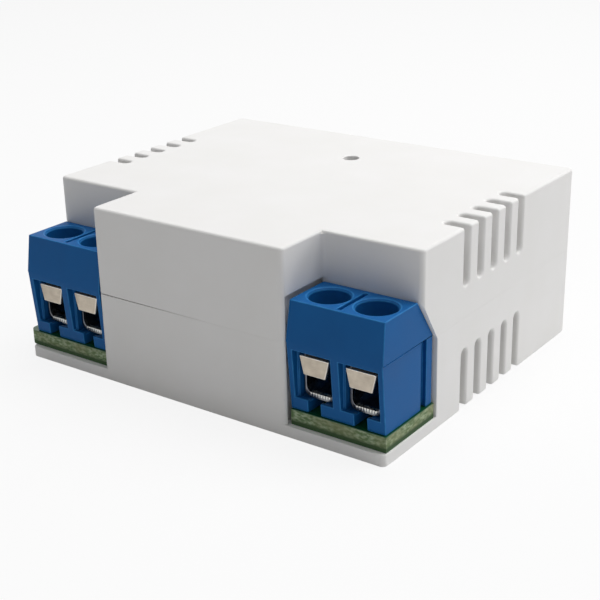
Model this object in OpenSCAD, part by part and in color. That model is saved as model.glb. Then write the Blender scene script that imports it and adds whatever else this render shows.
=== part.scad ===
// Smart relay module: a two-shell box with two screw terminal blocks on a circuit board.
// Origin at the middle of the base face, X to the right, Y to the back, Z up, in millimetres.

/* [Case] */
// Width of the case
case_w = 45; // [44:0.5:50]
// Depth of the case
case_d = 37.7; // [37.2:0.1:42]
// Height of the case
case_h = 18.7; // [18.2:0.1:22]
// Gap between a block and the cheek beside it
block_inner_gap = 0.1; // [0.1:0.05:0.3]
// Depth of the notches over the terminal blocks
notch_d = 6.35; // [6:0.05:6.6]
// Thickness of the side walls
wall = 1.5; // [1.2:0.1:1.6]
// Thickness of the lid's top plate
top_t = 1.5; // [1.2:0.1:1.8]
// Thickness of the floor
floor_t = 0.8; // [0.6:0.05:0.85]
// Height of the rim that carries the board
rim_z = 1.2; // [1.15:0.05:1.6]
// Height of the seam between the two shells
seam_z = 9.6; // [9:0.1:9.8]
// Radius of the upright corners
corner_r = 0.5; // [0.4:0.1:1]
// Radius of the lid's top edges
edge_r = 0.3; // [0.2:0.05:0.35]
// Diameter of the pin-hole over the pairing button
pin_hole_d = 1.8; // [1.4:0.1:2.2]

/* [Vents] */
// Number of slots in each row
vent_count = 5; // [3:1:5]
// Distance from slot to slot
vent_pitch = 2.75; // [2.4:0.05:2.9]
// Width of a slot
vent_w = 1.1; // [1:0.1:1.4]
// How far the upper slots reach over the lid
vent_reach = 2.5; // [2:0.1:3]
// Height of the upper slots
vent_upper_h = 5.9; // [5:0.1:6.5]
// Height of the lower slots
vent_lower_h = 6.3; // [5:0.1:6.8]
// How far the rows sit behind the middle of the case
vent_shift = 1.1; // [0:0.1:1.5]

/* [Board] */
// Thickness of the circuit board
board_t = 1.6; // [1.4:0.1:1.7]
// Play between the board and the case
board_play = 0.25; // [0.15:0.05:0.3]
// How far the break-off nub stands past the left side
nub_out = 0.8; // [0.4:0.1:1]

/* [Terminal blocks] */
// Distance from pole to pole
pitch = 5.08; // [5:0.01:5.1]
// Width of a block
block_w = 10.5; // [10.4:0.05:10.6]
// Height of a block over the board
block_h = 10.95; // [10.8:0.05:11.1]
// Depth of a block at its foot
block_d = 8.6; // [8.4:0.1:8.7]
// Depth of a block's flat top
block_top_d = 5.45; // [5.2:0.05:5.6]
// Height of a block's widest line
block_mid_z = 6.95; // [6.8:0.05:7]
// Width of a wire window
window_w = 4.2; // [4:0.05:4.3]
// Diameter of a screw hole
screw_hole_d = 3.9; // [3.8:0.05:4]
// Travel of a wire guard
guard_travel = 1.2; // [1:0.1:1.4]

/* [Relay] */
// Width of the relay
relay_w = 15; // [14.9:0.1:15.4]
// Length of the relay
relay_l = 20.4; // [20.2:0.1:21]
// Height of the relay
relay_h = 10.9; // [10.7:0.1:11.5]
// Swing of the armature
armature_swing = 4; // [2:0.5:5]

/* [Hidden] */
$fn = 48;
// Overlap of joined solids, and how far cutters run past the faces that they open
eps = 0.01;
over = 1;

// Smallest radius of the upright corners inside the shells
inner_r_min = 0.3;

// Planes of the case and the board
front_y = -case_d / 2;
back_y = case_d / 2;
board_z = rim_z;
board_top = board_z + board_t;
cavity_top = case_h - top_t;

// Fit of the two shells: a lip with snap beads on the lid, grooves in the lower walls
lip_t = 0.8;
lip_h = 1.3;
lip_play = 0.1;
bead_r = 0.3;
bead_play = 0.05;
bead_w = 9;
bead_z = seam_z - lip_h / 2;
lip_in = wall + lip_play + lip_t;

// Ledge inside the walls that carries the board, and the depth of the slots through the walls above it
ledge_w = 0.6;
vent_lower_reach = wall + 0.5;

// Board: how far its ears stay back from the front and the sides, and its break-off nub
ear_setback = 0.55;
ear_side_gap = 0.15;
nub_w = 3;
nub_root = 2;

// Place of the terminal blocks, from the case's front and sides, and the front part that is left between them
block_setback = 0.15;
block_side_gap = 0.25;
block_x = case_w / 2 - block_side_gap - block_w / 2;
front_w = 2 * (block_x - block_w / 2 - block_inner_gap);
block_y = front_y + block_setback;

// Outline of a block, seen from its side and from its front
foot_in = 0.6;
top_in = 0.55;
top_narrow = 0.15;
collar_step = 0.06;
block_top_back = top_in + block_top_d;
back_slope = (block_h - block_mid_z) / (block_d - block_top_back);
hole_y = top_in + block_top_d / 2;

// Pocket that the case leaves round a block
pocket_play = 0.4;
slope_play = 0.15;
pocket_wall = 1.2;
recess_t = 0.4;
recess_front = 0.35;
pocket_back = block_setback + block_d + pocket_play;
function pocket_slope_z(y) =
    board_top + block_h + slope_play - back_slope * (y - block_setback - block_top_back);

// Openings in a block
sill_h = 1.3;
window_top = 6.2;
chamber_w = 3.7;
chamber_front = 0.95;
chamber_back = 5.85;
chamber_top = 6.95;
chamber_floor = 1.1;
sill_gap_w = 1.4;
rim_chamfer = 0.2;
divider_w = 0.45;
divider_l = 4.6;
divider_t = 0.5;
key_y = 7.1;
key_neck = 0.35;
key_flare = 0.5;
key_t = 0.55;
tongue_t = 0.4;
key_play = 0.08;
tongue_drop = 1;

// Metal parts of a pole, from the board up
cage_w = 3.5;
cage_t = 0.4;
cage_leg_t = 0.25;
cage_front = 1.5;
cage_l = 4.2;
cage_bend_r = 1;
cage_floor = 1.55;
cage_nut_z = 5.85;
cage_nut_t = 0.95;
solder_pin_d = 1;
pin_play = 0.15;
lead_tail = 0.3;
thread_d = 2.5;
thread_play = 0.05;
guard_t = 0.3;
guard_front = 0.6;
guard_low = 3.8;
guard_high = 5.65;
guard_top_w = 3.3;
guard_low_w = 2.4;
guard_tongue_w = 2.2;
guard_tongue_l = 4.2;
screw_gap = 0.05;
head_d = 3.6;
head_h = 0.8;
head_slot_w = 0.6;
head_slot_t = 0.4;
head_z = chamber_top + guard_travel + screw_gap;

// Poles, counted from left to right
pole_x = [for (side = [-1, 1], pole = [-1, 1]) side * block_x + pole * pitch / 2];

// Room on the board inside the lip, and the gap from piece to piece
part_gap = 0.3;
inner_x = case_w / 2 - lip_in - part_gap;
inner_back = back_y - lip_in - part_gap;
inner_front = front_y + lip_in + part_gap;
curtain_back = front_y + pocket_back + pocket_wall;

// Relay, with its own middle at the middle of its foot
relay_x = inner_x - relay_w / 2;
relay_y = inner_back - relay_l / 2;
relay_wall = 0.6;
relay_base_t = 1.2;
relay_base_z = 0.3;
coil_x = -2.6;
coil_z = 5.7;
coil_l = 13;
coil_r = 3.5;
flange_r = 4;
flange_t = 0.8;
core_r = 1.5;
bobbin_t = 0.5;
yoke_x = 3;
yoke_t = 1.2;
yoke_low = 2;
yoke_high = 9.3;
yoke_gap = 0.2;
pole_out = 0.5;
yoke_back = coil_l / 2 + yoke_gap;
yoke_front = -coil_l / 2 - pole_out;
armature_t = 1.1;
armature_back = 0.3;
armature_w = yoke_x - coil_x + flange_r - armature_back;
armature_gap = 0.1;
spring_t = 0.25;
spring_low = 4.2;
spring_high = 7.2;
spring_out = 1.6;
spring_l = 11;
contact_r = 1.2;
contact_t = 0.5;
contact_gap = 0.08;
blade_t = 0.4;
relay_pin_d = 0.9;
pin_root = 1;
coil_pin_step = 5.08;
coil_pin_back = 2.3;
contact_y = yoke_front - armature_gap + spring_l - contact_r;
contact_z = (spring_low + spring_high) / 2;
fixed_face_x = yoke_x + spring_out + spring_t + contact_t + contact_gap;
fixed_pin = [fixed_face_x + contact_t + blade_t / 2, contact_y];
yoke_pin = [yoke_x - yoke_t / 2, yoke_back - pin_root];
coil_pins = [for (side = [-1, 1]) [coil_x + side * coil_pin_step / 2, coil_l / 2 + coil_pin_back]];
relay_leads = concat([fixed_pin, yoke_pin], coil_pins);

// Pairing button, beside the relay
button_w = 6;
button_h = 3.4;
button_cover_t = 0.3;
button_relay_gap = 1.8;
button_back_gap = 3.25;
button_x = relay_x - relay_w / 2 - button_relay_gap - button_w / 2;
button_y = inner_back - button_back_gap - button_w / 2;
plunger_d = 3.4;
plunger_lid_gap = 1.4;
plunger_top = cavity_top - board_top - plunger_lid_gap;
plunger_travel = 0.25;
plunger_play = 0.1;
plunger_gap = 0.05;
dome_h = 1.2;
plunger_foot = dome_h + plunger_travel + plunger_gap;

// Radio board behind the front wall
radio_side = 1.35;
radio_w = front_w - 2 * lip_in - 2 * radio_side;
radio_h = 11;
radio_t = 1;
shield_w = 11;
shield_h = 8;
shield_t = 2.2;
shield_side = 0.5;
shield_lift = 1;

// First row behind the radio: the varistor and the fuse
cap_lead_d = 0.6;
lead_spacing = 2.5;
varistor_d = 6.4;
varistor_t = 3.4;
fuse_d = 3;
fuse_l = 7;
fuse_lead_out = 0.3;
row_gap = 0.4;
row_1_y = inner_front + radio_t + shield_t + row_gap;
varistor_xy = [-row_gap - varistor_d / 2, row_1_y + varistor_t / 2];
fuse_xy = [row_gap + (fuse_l + cap_lead_d) / 2, row_1_y + varistor_t / 2];

// Second row, spread evenly from the left wall to the relay: input capacitor, bridge rectifier and choke
input_cap_d = 8;
input_cap_h = 12;
cap_groove_r = 0.35;
bridge_size = [4.7, 3.8, 2.4];
bridge_legs = 2;
bridge_step = 2.54;
choke_d = 6;
choke_h = 7;
choke_flange_t = 1;
choke_waist = 0.6;
leg_out = 0.9;
row_2_y = row_1_y + varistor_t + row_gap;
row_2_gap = (relay_x - relay_w / 2 + inner_x - input_cap_d - bridge_size[0] - choke_d) / 3;
input_cap_xy = [-inner_x + input_cap_d / 2, curtain_back + part_gap + input_cap_d / 2];
bridge_xy = [-inner_x + input_cap_d + row_2_gap + bridge_size[0] / 2, row_2_y + leg_out + bridge_size[1] / 2];
choke_xy = [bridge_xy[0] + (bridge_size[0] + choke_d) / 2 + row_2_gap, row_2_y + choke_d / 2];

// Third row: output capacitor, power controller and small chips, in front of the button
output_cap_d = 6.3;
output_cap_h = 9;
output_cap_left = 6.2;
controller_size = [3, 3, 1];
controller_legs = 4;
controller_step = 0.65;
chip_size = [1.6, 0.8, 0.6];
chip_step = 1.7;
chips_per_row = 3;
row_3_y = row_2_y + choke_d + row_gap;
output_cap_xy = [button_x - output_cap_left, row_3_y + output_cap_d / 2];
controller_xy = [relay_x - (relay_w + controller_size[0]) / 2 - part_gap,
                 row_3_y + leg_out + controller_size[1] / 2];
chip_x = controller_xy[0] - controller_size[0] / 2 - part_gap - chip_size[0];
chip_rows = [[chip_x, row_3_y], [chip_x - chip_size[0] - part_gap, row_3_y],
             [button_x - button_w / 2 - part_gap - chip_size[0],
              button_y + button_w / 2 - chip_size[1] - (chips_per_row - 1) * chip_step]];

// Status light behind the button
led_size = [1.6, 1.2, 0.8];
led_xy = [button_x, button_y + (button_w + led_size[1]) / 2 + part_gap];

// Transformer in the back left corner
transformer_w = 10.2;
transformer_d = 4.8;
transformer_h = 11;
leg_w = 2.6;
yoke_bar = 1.4;
bobbin_wall = 0.5;
winding_out = 2;
bobbin_foot = 1.2;
bobbin_bar_d = 2.4;
transformer_xy = [-inner_x + transformer_w / 2, inner_back - bobbin_bar_d - transformer_d / 2];

// Plan shapes

module rounded_rect(x0, y0, x1, y1, r) {
    translate([x0 + r, y0]) square([x1 - x0 - 2 * r, y1 - y0]);
    translate([x0, y0 + r]) square([x1 - x0, y1 - y0 - 2 * r]);
    for (x = [x0 + r, x1 - r], y = [y0 + r, y1 - r]) translate([x, y]) circle(r);
}

// T-shaped plan of the case, drawn in from its outer faces by an inset
module case_plan(inset) {
    r = max(corner_r - inset, inner_r_min);
    half_w = case_w / 2 - inset;
    half_front = front_w / 2 - inset;
    rounded_rect(-half_w, front_y + notch_d + inset, half_w, back_y - inset, r);
    rounded_rect(-half_front, front_y + inset, half_front, front_y + notch_d + inset + 2 * r, r);
}

// A prism whose outline is drawn in Y and Z and which runs along X
module along_x(x0, x1) {
    translate([x0, 0, 0])
        rotate([90, 0, 90])
            linear_extrude(x1 - x0) children();
}

// Both sides of the case: the child is drawn on the right and mirrored to the left
module both_sides() {
    children();
    mirror([1, 0, 0]) children();
}

// Space for a block, from the board's rim up to the notch and out through the side
module block_pocket() {
    y_back = front_y + pocket_back;
    y_notch = front_y + notch_d;
    slope_low = pocket_slope_z(pocket_back);
    slope_high = pocket_slope_z(notch_d);
    along_x(front_w / 2, case_w / 2 + over)
        polygon([[front_y - over, rim_z], [y_back, rim_z], [y_back, slope_low], [y_notch, slope_high],
                 [front_y - over, slope_high]]);
    along_x(front_w / 2 - recess_t, front_w / 2 + eps)
        polygon([[front_y + recess_front, rim_z], [y_back, rim_z], [y_back, slope_low],
                 [y_notch, slope_high + pocket_play], [front_y + recess_front, slope_high + pocket_play]]);
}

// Wall of the lid that closes the space behind a block, down to just over the board
module block_curtain() {
    low = board_top + board_play;
    y_in = front_y + pocket_back - pocket_play;
    y_back = curtain_back;
    y_wall = front_y + notch_d + wall;
    z_back = pocket_slope_z(pocket_back) + pocket_wall;
    z_wall = pocket_slope_z(notch_d) + pocket_wall;
    along_x(front_w / 2 - wall, case_w / 2 - wall - lip_play)
        polygon([[y_in, low], [y_back, low], [y_back, z_back], [y_wall, z_wall],
                 [y_wall, pocket_slope_z(notch_d + wall)]]);
}

// One row of vent slots in the right side, round at the closed end and at the inner end
module vent_row(z_end, z_open, reach) {
    end_r = vent_w / 2;
    z_turn = z_end + (z_open > z_end ? end_r : -end_r);
    low = min(z_turn, z_open);
    h = abs(z_open - z_turn);
    for (i = [0 : vent_count - 1])
        translate([case_w / 2 - reach + end_r, vent_shift + (i - (vent_count - 1) / 2) * vent_pitch, 0]) {
            translate([0, -end_r, low]) cube([reach + over, vent_w, h]);
            translate([0, 0, low]) cylinder(d = vent_w, h = h);
            translate([0, 0, z_turn]) rotate([0, 90, 0]) cylinder(d = vent_w, h = reach + over);
        }
}

// Beads on the lip, or the grooves for them, at the front and the back wall
module snap_beads(r) {
    for (y = [front_y + wall, back_y - wall])
        translate([-bead_w / 2, y, bead_z])
            rotate([0, 90, 0])
                cylinder(r = r, h = bead_w);
}

// Shells

module lower_case() color("whitesmoke") {
    difference() {
        union() {
            linear_extrude(rim_z) rounded_rect(-case_w / 2, front_y, case_w / 2, back_y, corner_r);
            linear_extrude(seam_z) case_plan(0);
        }
        translate([0, 0, rim_z]) linear_extrude(seam_z) case_plan(wall);
        translate([0, 0, floor_t])
            linear_extrude(seam_z)
                rounded_rect(-case_w / 2 + wall + ledge_w, front_y + wall + ledge_w,
                             case_w / 2 - wall - ledge_w, back_y - wall - ledge_w, corner_r);
        both_sides() {
            block_pocket();
            vent_row(vent_lower_h, -over, vent_lower_reach);
        }
        snap_beads(bead_r + bead_play);
    }
    middle_cheeks();
}

// Upright cheeks beside the notches, which stand in the slots of the board
module middle_cheeks() {
    both_sides()
        difference() {
            translate([front_w / 2 - wall, front_y + wall - eps, floor_t])
                cube([wall, notch_d + eps, seam_z - floor_t]);
            block_pocket();
        }
}

// Upright outline with round top corners
module round_top(u0, u1, h) {
    translate([u0, 0]) square([u1 - u0, h - edge_r]);
    translate([u0 + edge_r, 0]) square([u1 - u0 - 2 * edge_r, h]);
    for (u = [u0 + edge_r, u1 - edge_r]) translate([u, h - edge_r]) circle(edge_r);
}

// A box whose upright corners and top edges are round: two crossed prisms and four turned corners
module round_top_box(x0, y0, x1, y1, z0, z1) {
    h = z1 - z0;
    translate([0, 0, z0]) along_x(x0 + corner_r, x1 - corner_r) round_top(y0, y1, h);
    translate([0, y1 - corner_r, z0])
        rotate([90, 0, 0])
            linear_extrude(y1 - y0 - 2 * corner_r) round_top(x0, x1, h);
    for (x = [x0 + corner_r, x1 - corner_r], y = [y0 + corner_r, y1 - corner_r])
        translate([x, y, z0])
            rotate_extrude()
                intersection() {
                    round_top(-corner_r, corner_r, h);
                    square([corner_r, h]);
                }
}

module upper_case() color("white")
    difference() {
        union() {
            difference() {
                union() {
                    round_top_box(-case_w / 2, front_y + notch_d, case_w / 2, back_y, seam_z, case_h);
                    round_top_box(-front_w / 2, front_y, front_w / 2, front_y + notch_d + 3 * corner_r,
                                  seam_z, case_h);
                }
                translate([0, 0, seam_z - over]) linear_extrude(cavity_top - seam_z + over) case_plan(wall);
            }
            lid_lip();
            both_sides() {
                block_curtain();
                notch_fillet();
            }
        }
        both_sides() {
            block_pocket();
            vent_row(case_h - vent_upper_h, case_h + over, vent_reach);
        }
        translate([button_x, button_y, cavity_top - over]) cylinder(d = pin_hole_d, h = top_t + 2 * over);
    }

// Round that fills the inner corner of a notch
module notch_fillet() {
    low = board_top + block_h + pocket_play;
    translate([front_w / 2, front_y + notch_d - corner_r, low])
        linear_extrude(case_h - edge_r - low)
            difference() {
                translate([-eps, 0]) square([corner_r, corner_r + eps]);
                translate([corner_r, 0]) circle(corner_r);
            }
}

// Lip that reaches down inside the lower walls
module lid_lip() {
    difference() {
        union() {
            translate([0, 0, seam_z]) linear_extrude(lip_h) case_plan(wall);
            translate([0, 0, seam_z - lip_h]) linear_extrude(lip_h) case_plan(wall + lip_play);
            intersection() {
                snap_beads(bead_r);
                translate([0, 0, seam_z - lip_h]) linear_extrude(lip_h) case_plan(wall - bead_r);
            }
        }
        translate([0, 0, seam_z - lip_h - over]) linear_extrude(2 * lip_h + 2 * over) case_plan(lip_in);
    }
}

// Circuit board

module board_plan() {
    half_in = case_w / 2 - wall - board_play;
    ear_front = front_y + ear_setback;
    ear_back = front_y + pocket_back - board_play;
    ear_in = front_w / 2 + board_play;
    ear_out = case_w / 2 - ear_side_gap;
    slot_end = front_y + notch_d + wall + board_play;
    half_tongue = front_w / 2 - wall - board_play;
    translate([-half_in, slot_end]) square([2 * half_in, back_y - wall - board_play - slot_end]);
    translate([-half_tongue, front_y + wall + board_play])
        square([2 * half_tongue, slot_end - front_y - wall]);
    for (x = [-ear_out, ear_in])
        translate([x, ear_front]) square([ear_out - ear_in, ear_back - ear_front]);
    rounded_rect(-case_w / 2 - nub_out, ear_front, -ear_out + nub_root, ear_front + nub_w, nub_out);
}

module lead_holes(points, d) {
    for (p = points) translate([p[0], p[1], board_z - over])
        cylinder(d = d + 2 * pin_play, h = board_t + 2 * over);
}

function pair_x(xy) = [for (side = [-1, 1]) [xy[0] + side * lead_spacing, xy[1]]];

module circuit_board() color("darkgreen")
    difference() {
        translate([0, 0, board_z]) linear_extrude(board_t) board_plan();
        lead_holes([for (x = pole_x) [x, block_y + hole_y]], solder_pin_d);
        lead_holes([for (p = relay_leads) [relay_x + p[0], relay_y + p[1]]], relay_pin_d);
        for (xy = [input_cap_xy, output_cap_xy, varistor_xy, choke_xy]) lead_holes(pair_x(xy), cap_lead_d);
        lead_holes([for (side = [-1, 1]) [fuse_xy[0] + side * fuse_l / 2, fuse_xy[1]]], cap_lead_d);
    }

// Terminal blocks

module block_side() {
    polygon([[foot_in, 0], [block_d, 0], [block_d, block_mid_z], [block_top_back, block_h],
             [top_in, block_h], [0, block_mid_z]]);
}

// The upper part stands out over the lower by a small step
module block_face() {
    half = block_w / 2;
    low_half = half - collar_step;
    polygon([[-low_half, 0], [low_half, 0], [low_half, block_mid_z], [half, block_mid_z],
             [half - top_narrow, block_h], [top_narrow - half, block_h], [-half, block_mid_z],
             [-low_half, block_mid_z]]);
}

// Dovetail that joins a block to its neighbour
module block_key(play, t) {
    neck = key_neck + play;
    flare = key_flare + play;
    polygon([[-eps, -neck], [t, -flare], [t, flare], [-eps, neck]]);
}

// Window, chamber, sill gap and screw hole of one pole
module pole_openings() {
    translate([-window_w / 2, -over, sill_h])
        cube([window_w, chamber_front + over, window_top - sill_h]);
    translate([-chamber_w / 2, chamber_front - eps, chamber_floor])
        cube([chamber_w, chamber_back - chamber_front, chamber_top - chamber_floor]);
    translate([-sill_gap_w / 2, -over, -over])
        cube([sill_gap_w, hole_y + over + sill_gap_w / 2, sill_h + over + eps]);
    translate([0, hole_y, chamber_top - eps])
        cylinder(d = screw_hole_d, h = block_h);
    translate([0, hole_y, block_h - rim_chamfer])
        cylinder(d1 = screw_hole_d, d2 = screw_hole_d + 2 * rim_chamfer + eps, h = rim_chamfer + eps);
}

module terminal_housing(x) color("royalblue")
    translate([x, block_y, board_top]) {
        difference() {
            intersection() {
                along_x(-block_w / 2, block_w / 2) block_side();
                translate([0, block_d, 0]) rotate([90, 0, 0]) linear_extrude(block_d) block_face();
            }
            for (side = [-1, 1]) translate([side * pitch / 2, 0, 0]) pole_openings();
            translate([-divider_w / 2, hole_y - divider_l / 2, block_h - divider_t])
                cube([divider_w, divider_l, over]);
            translate([block_w / 2, key_y, -over])
                mirror([1, 0, 0]) linear_extrude(block_mid_z + over) block_key(key_play, key_t);
        }
        translate([collar_step - block_w / 2, key_y, 0])
            mirror([1, 0, 0]) linear_extrude(block_mid_z - tongue_drop) block_key(0, tongue_t);
    }

module left_terminal_housing() terminal_housing(-block_x);
module right_terminal_housing() terminal_housing(block_x);

// A place at one pole, on the board
module at_pole(i) {
    translate([pole_x[i - 1], block_y, board_top]) children();
}

// U-shaped prism along Y
module cage_sleeve(half, low, top, r, y0, y1) {
    translate([0, y1, 0])
        rotate([90, 0, 0])
            linear_extrude(y1 - y0) {
                rounded_rect(-half, low, half, top, r);
                translate([-half, low + r]) square([2 * half, top - low - r]);
            }
}

// Wire cage bent from strip: floor, two legs and the thick threaded top, with a pin to the board
module terminal_cage(i) color("silver")
    at_pole(i) {
        low = cage_floor - cage_t;
        back = cage_front + cage_l;
        inner_r = cage_bend_r - cage_leg_t;
        difference() {
            cage_sleeve(cage_w / 2, low, cage_nut_z + cage_nut_t, cage_bend_r, cage_front, back);
            cage_sleeve(cage_w / 2 - cage_leg_t, cage_floor, cage_nut_z, inner_r,
                        cage_front - over, back + over);
            translate([0, hole_y, guard_high - guard_travel]) cylinder(d = thread_d, h = block_h);
        }
        translate([0, hole_y, -board_t - lead_tail])
            cylinder(d = solder_pin_d, h = board_t + lead_tail + cage_floor - cage_t / 2);
    }

// Wire guard: a leaf that narrows downwards, bent back into a tongue under the screw
module terminal_guard(i) color("tan")
    at_pole(i) {
        translate([0, guard_front + guard_t, 0])
            rotate([90, 0, 0])
                linear_extrude(guard_t)
                    polygon([[-guard_low_w / 2, guard_low], [guard_low_w / 2, guard_low],
                             [guard_top_w / 2, guard_high], [-guard_top_w / 2, guard_high]]);
        translate([-guard_tongue_w / 2, guard_front, guard_high - guard_t])
            cube([guard_tongue_w, guard_tongue_l, guard_t]);
    }

// Clamp screw with a slotted head
module terminal_screw(i) color("gainsboro")
    at_pole(i)
        translate([0, hole_y, 0])
            difference() {
                union() {
                    translate([0, 0, guard_high + screw_gap])
                        cylinder(d = thread_d - 2 * thread_play, h = head_z - guard_high);
                    translate([0, 0, head_z]) cylinder(d = head_d, h = head_h);
                }
                translate([-head_d, -head_slot_w / 2, head_z + head_h - head_slot_t])
                    cube([2 * head_d, head_slot_w, over]);
            }

// Relay

module at_relay() {
    translate([relay_x, relay_y, board_top]) children();
}

module relay_cover() color("dimgray")
    at_relay()
        difference() {
            translate([-relay_w / 2, -relay_l / 2, 0]) cube([relay_w, relay_l, relay_h]);
            translate([relay_wall - relay_w / 2, relay_wall - relay_l / 2, -over])
                cube([relay_w - 2 * relay_wall, relay_l - 2 * relay_wall, relay_h - relay_wall + over]);
        }

module relay_base() color("black")
    at_relay()
        difference() {
            inner_w = relay_w - 2 * relay_wall;
            inner_l = relay_l - 2 * relay_wall;
            translate([-inner_w / 2, -inner_l / 2, relay_base_z]) cube([inner_w, inner_l, relay_base_t]);
            for (p = relay_leads)
                translate([p[0], p[1], -over]) cylinder(d = relay_pin_d + 2 * pin_play, h = relay_h);
        }

// A round along the coil's axis
module coil_round(r, y0, y1) {
    translate([coil_x, y1, coil_z]) rotate([90, 0, 0]) cylinder(r = r, h = y1 - y0);
}

module relay_bobbin() color("white")
    at_relay()
        difference() {
            union() {
                coil_round(core_r + bobbin_t, -coil_l / 2, coil_l / 2);
                coil_round(flange_r, -coil_l / 2, flange_t - coil_l / 2);
                coil_round(flange_r, coil_l / 2 - flange_t, coil_l / 2);
            }
            coil_round(core_r, -coil_l, coil_l);
        }

module relay_winding() color("chocolate")
    at_relay()
        difference() {
            coil_round(coil_r, flange_t - coil_l / 2, coil_l / 2 - flange_t);
            coil_round(core_r + bobbin_t, -coil_l, coil_l);
        }

module relay_core() color("silver")
    at_relay() coil_round(core_r, yoke_front, yoke_back);

// Iron frame bent to an L, with its pin to the board
module relay_yoke() color("silver")
    at_relay() {
        translate([0, 0, yoke_low])
            linear_extrude(yoke_high - yoke_low)
                polygon([[coil_x - flange_r, yoke_back], [yoke_x - yoke_t, yoke_back],
                         [yoke_x - yoke_t, yoke_front], [yoke_x, yoke_front],
                         [yoke_x, yoke_back + yoke_t], [coil_x - flange_r, yoke_back + yoke_t]]);
        lead(yoke_pin, yoke_low + pin_root, relay_pin_d);
    }

// A round lead from a height down through the board
module lead(xy, top, d) {
    translate([xy[0], xy[1], -board_t - lead_tail]) cylinder(d = d, h = top + board_t + lead_tail);
}

// The armature's frame: its edge on the yoke, opened by its swing
module at_armature() {
    at_relay()
        translate([yoke_x, yoke_front - armature_gap, 0])
            rotate([0, 0, armature_swing]) children();
}

module relay_armature() color("gray")
    at_armature()
        translate([-armature_w, -armature_t, yoke_low])
            cube([armature_w, armature_t, yoke_high - yoke_low]);

// Contact spring bent round the armature's edge, with its contact
module relay_spring() color("orange")
    at_armature() {
        mid_x = -armature_w / 2;
        outer_x = spring_out + spring_t;
        translate([0, 0, spring_low])
            linear_extrude(spring_high - spring_low)
                polygon([[mid_x, -armature_t - spring_t], [outer_x, -armature_t - spring_t],
                         [outer_x, spring_l], [spring_out, spring_l],
                         [spring_out, -armature_t], [mid_x, -armature_t]]);
        translate([outer_x, spring_l - contact_r, contact_z])
            rotate([0, 90, 0]) cylinder(r = contact_r, h = contact_t);
    }

module relay_fixed_contact() color("orange")
    at_relay() {
        translate([fixed_face_x, contact_y, contact_z])
            rotate([0, 90, 0]) cylinder(r = contact_r, h = contact_t);
        translate([fixed_face_x + contact_t, contact_y - contact_r, yoke_low])
            cube([blade_t, 2 * contact_r, spring_high - yoke_low]);
        lead(fixed_pin, yoke_low, relay_pin_d);
    }

module relay_coil_pins() color("silver")
    at_relay() for (p = coil_pins) lead(p, yoke_low + pin_root, relay_pin_d);

// Mains supply

// Aluminium can with a rolled groove near its foot and two leads
module capacitor(xy, d, h)
    translate([xy[0], xy[1], board_top]) {
        difference() {
            cylinder(d = d, h = h);
            translate([0, 0, 3 * cap_groove_r])
                rotate_extrude() translate([d / 2, 0]) circle(cap_groove_r);
        }
        for (side = [-1, 1]) lead([side * lead_spacing, 0], eps, cap_lead_d);
    }

module input_capacitor() color("midnightblue") capacitor(input_cap_xy, input_cap_d, input_cap_h);
module output_capacitor() color("midnightblue") capacitor(output_cap_xy, output_cap_d, output_cap_h);

// Drum choke: two flanges over a thinner winding
module filter_choke() color("saddlebrown")
    translate([choke_xy[0], choke_xy[1], board_top]) {
        r = choke_d / 2;
        waist_r = r - choke_waist;
        rotate_extrude()
            polygon([[0, 0], [r, 0], [r, choke_flange_t], [waist_r, choke_flange_t],
                     [waist_r, choke_h - choke_flange_t], [r, choke_h - choke_flange_t], [r, choke_h],
                     [0, choke_h]]);
        for (side = [-1, 1]) lead([side * lead_spacing, 0], eps, cap_lead_d);
    }

module varistor() color("dodgerblue")
    translate([varistor_xy[0], varistor_xy[1], board_top]) {
        translate([0, varistor_t / 2, varistor_d / 2])
            rotate([90, 0, 0]) cylinder(d = varistor_d, h = varistor_t);
        for (side = [-1, 1]) lead([side * lead_spacing, 0], varistor_d / 2, cap_lead_d);
    }

// Resistor lying on the board, with leads bent down at both ends
module fuse_resistor() color("seagreen")
    translate([fuse_xy[0], fuse_xy[1], board_top]) {
        body_l = fuse_l - 2 * cap_lead_d - 2 * fuse_lead_out;
        translate([-body_l / 2, 0, fuse_d / 2]) rotate([0, 90, 0]) cylinder(d = fuse_d, h = body_l);
        translate([-fuse_l / 2, 0, fuse_d / 2]) rotate([0, 90, 0]) cylinder(d = cap_lead_d, h = fuse_l);
        for (side = [-1, 1]) lead([side * fuse_l / 2, 0], fuse_d / 2, cap_lead_d);
    }

// Moulded chip with gull-wing legs along its two long sides
module moulded_chip(xy, size, legs, step) {
    foot_w = step / 2;
    foot_t = 0.2;
    translate([xy[0], xy[1], board_top]) {
        translate([-size[0] / 2, -size[1] / 2, foot_t]) cube(size);
        for (i = [0 : legs - 1])
            translate([(i - (legs - 1) / 2) * step - foot_w / 2, -size[1] / 2 - leg_out, 0])
                cube([foot_w, size[1] + 2 * leg_out, foot_t + eps]);
    }
}

module bridge_rectifier() color("black") moulded_chip(bridge_xy, bridge_size, bridge_legs, bridge_step);
module power_controller() color("black")
    moulded_chip(controller_xy, controller_size, controller_legs, controller_step);

module at_transformer() {
    translate([transformer_xy[0], transformer_xy[1], board_top + bobbin_foot]) children();
}

// Two ferrite E halves, drawn as the frame and middle leg that they make
module transformer_core() color("dimgray")
    at_transformer()
        difference() {
            translate([-transformer_w / 2, -transformer_d / 2, 0])
                cube([transformer_w, transformer_d, transformer_h]);
            window = (transformer_w - 2 * yoke_bar - leg_w) / 2;
            for (side = [-1, 1])
                translate([side * (leg_w + window) / 2 - window / 2, -transformer_d, yoke_bar])
                    cube([window, 2 * transformer_d, transformer_h - 2 * yoke_bar]);
        }

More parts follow.
